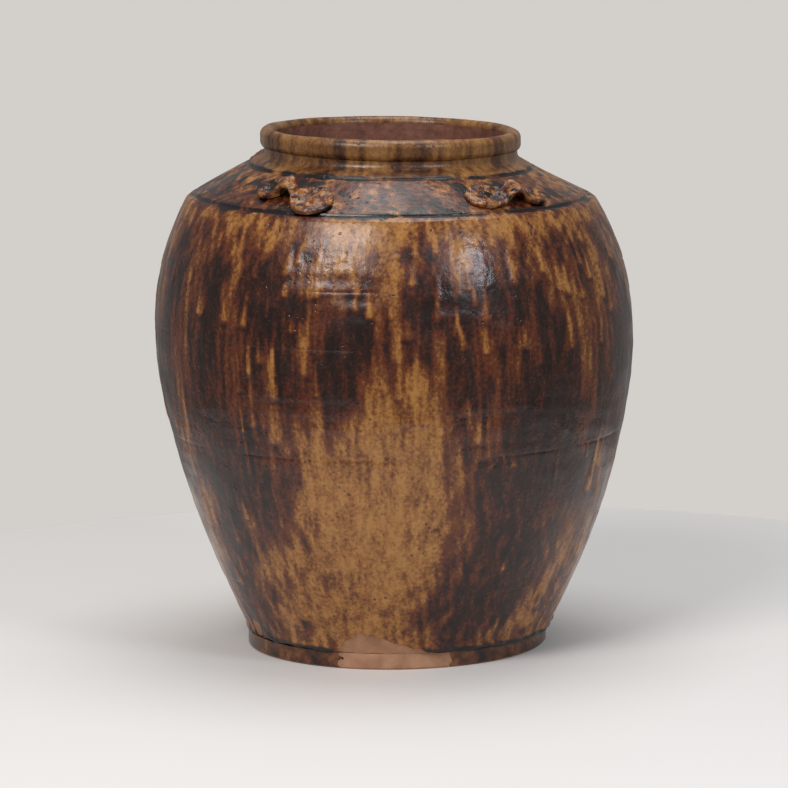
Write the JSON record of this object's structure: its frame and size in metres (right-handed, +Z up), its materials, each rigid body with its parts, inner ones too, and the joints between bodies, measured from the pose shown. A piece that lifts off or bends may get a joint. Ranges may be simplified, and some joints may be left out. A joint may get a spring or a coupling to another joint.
{
  "type": "martaban storage jar",
  "caption": "Shouldered brown-glazed stoneware storage jar with a rolled rim, a short neck and strap lugs on the shoulder for a cord.",
  "frame": {"origin": "middle of the foot's underside, on the surface that the jar stands on", "axes": "+Z up the jar's axis through the mouth, -Y to the front with the two front lugs either side of it, +X to the right as seen from the front"},
  "size_m": [0.328, 0.328, 0.3557],
  "materials": {
    "glazed_wall": "glossy iron-brown glaze with amber runs over stoneware",
    "glazed_shoulder": "mottled amber and black glaze over stoneware",
    "glazed_rim": "ochre glaze over stoneware",
    "glazed_lug": "amber glaze, black where it pools, over hand-pressed stoneware",
    "bare_foot": "unglazed fired clay with glaze run along the foot"
  },
  "bodies": {
    "root": {"base_slab": "bare_foot", "foot_wall": "glazed_wall", "lower_wall": "glazed_wall", "belly_wall": "glazed_wall", "haunch_wall": "glazed_wall", "upper_wall": "glazed_wall", "shoulder": "glazed_shoulder", "neck_collar": "glazed_rim", "rim_roll": "glazed_rim", "lug_front_left": "glazed_lug", "lug_front_right": "glazed_lug", "lug_back_left": "glazed_lug", "lug_back_right": "glazed_lug"}
  },
  "joints": []
}
